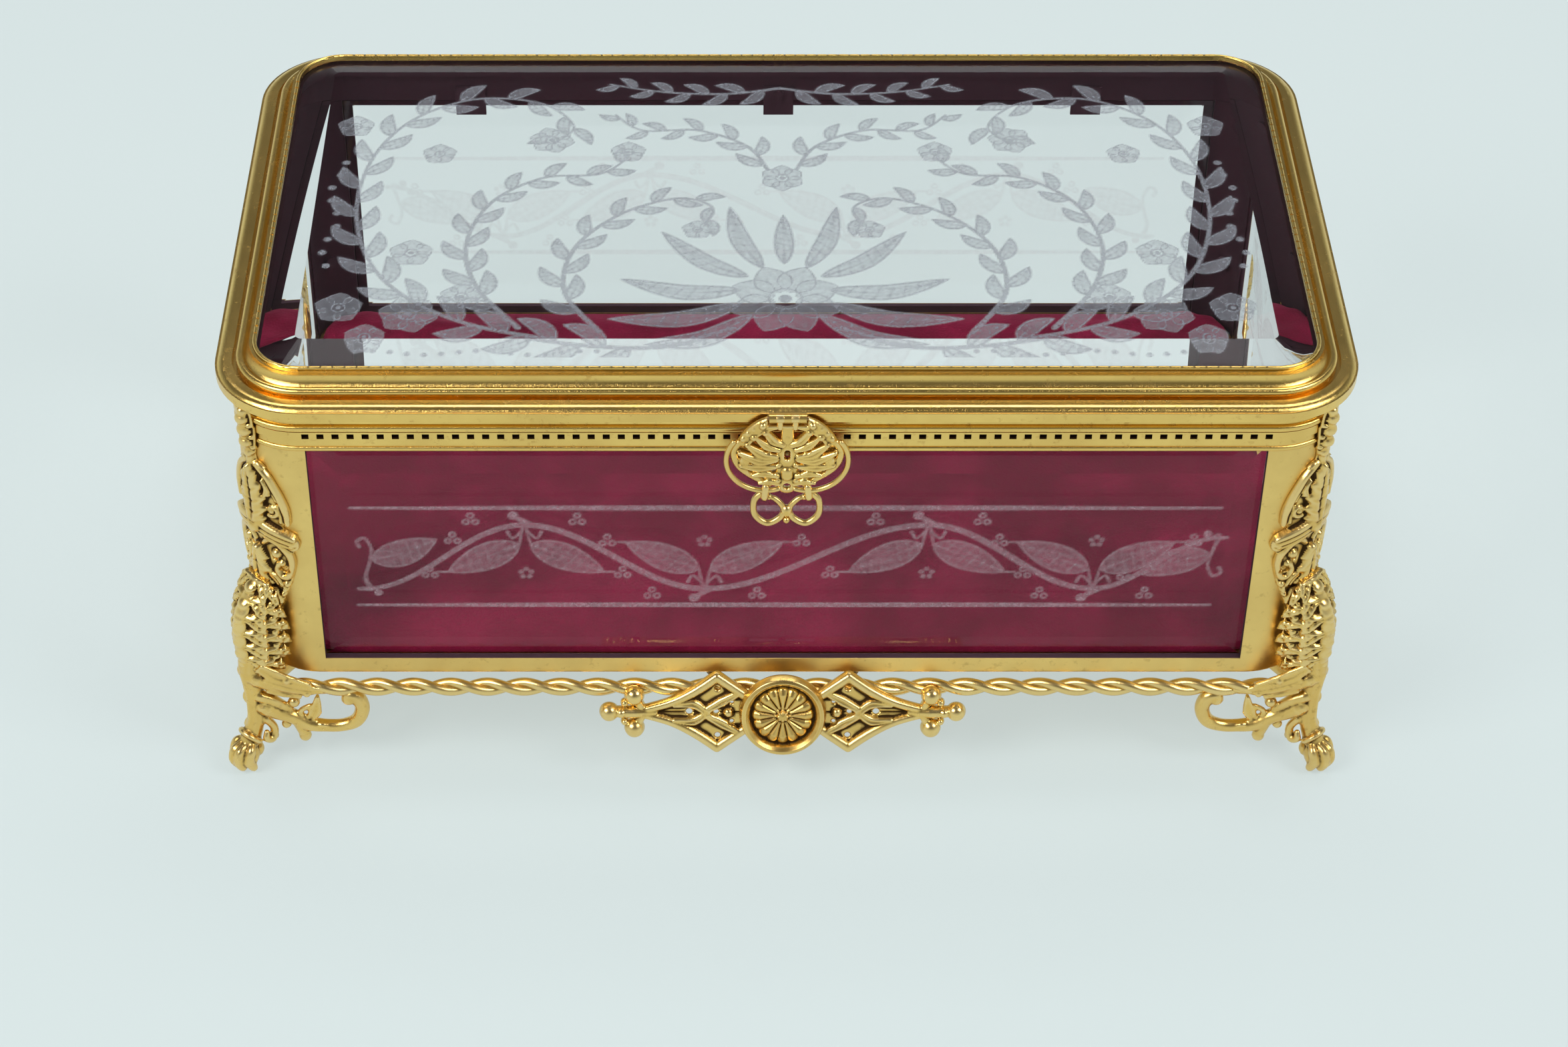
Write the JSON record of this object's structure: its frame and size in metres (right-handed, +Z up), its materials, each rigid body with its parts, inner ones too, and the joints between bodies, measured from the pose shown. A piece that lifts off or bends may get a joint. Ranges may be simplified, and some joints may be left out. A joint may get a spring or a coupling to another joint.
{
  "type": "glass casket box",
  "caption": "Gilt brass casket with bevelled glass sides and a hinged glass lid, for keepsakes or papers, on cast scroll legs.",
  "frame": {"origin": "on the surface the box stands on, under the centre of the body", "axes": "+X along the length to the right seen from the front, +Y from the hasp side to the hinge side, +Z up"},
  "size_m": [0.3174, 0.1877, 0.1373],
  "materials": {
    "satin_gilt": "satin gilding on plain rolled brass",
    "bright_gilt": "bright polished gilding on drawn mouldings",
    "cast_gilt": "gilt casting, burnished on the high points and dark in the recesses",
    "dull_brass": "dull unpolished brass",
    "clear_glass": "clear polished plate glass with bevelled edges",
    "frosted_glass": "matt wheel-cut and etched decoration in the surface of the glass",
    "crimson_velvet": "crimson silk velvet"
  },
  "bodies": {
    "body": {"lower_rail": "satin_gilt", "upper_rail": "bright_gilt", "gallery_strip": "bright_gilt", "post_front_left": "satin_gilt", "post_front_right": "satin_gilt", "post_back_left": "satin_gilt", "post_back_right": "satin_gilt", "glass_front": "clear_glass", "glass_back": "clear_glass", "glass_left": "clear_glass", "glass_right": "clear_glass", "panel_clips": "dull_brass", "clip_screws": "dull_brass", "base_plate": "satin_gilt", "base_screws": "dull_brass", "velvet_pad": "crimson_velvet", "mount_front_left": "cast_gilt", "mount_front_right": "cast_gilt", "mount_back_left": "cast_gilt", "mount_back_right": "cast_gilt", "mount_bolts": "dull_brass", "leg_front_left": "cast_gilt", "leg_front_right": "cast_gilt", "leg_back_left": "cast_gilt", "leg_back_right": "cast_gilt", "leg_screws": "dull_brass", "rope_front": "cast_gilt", "rope_back": "cast_gilt", "rope_left": "cast_gilt", "rope_right": "cast_gilt", "apron": "cast_gilt", "rosette": "cast_gilt", "rosette_screw": "dull_brass", "apron_screws": "dull_brass", "catch_stud": "dull_brass", "hinge_body_leaves": "satin_gilt", "hinge_pins": "dull_brass"},
    "lid": {"hinge_lid_leaves": "satin_gilt", "lid_rim": "bright_gilt", "lid_moulding": "bright_gilt", "lid_bezel": "bright_gilt", "lid_glass": "clear_glass", "hasp_bracket": "cast_gilt", "hasp_pin": "dull_brass"},
    "hasp": {"hasp": "cast_gilt"}
  },
  "joints": [
    {"name": "lid_hinge", "type": "hinge", "parent": "body", "child": "lid", "pos_m": [0, 0.0844, 0.1239], "axis": [-1, 0, 0], "range_deg": [0, 100]},
    {"name": "hasp_hinge", "type": "hinge", "parent": "lid", "child": "hasp", "pos_m": [0, -0.0883, 0.1292], "axis": [-1, 0, 0], "range_deg": [0, 110]}
  ]
}
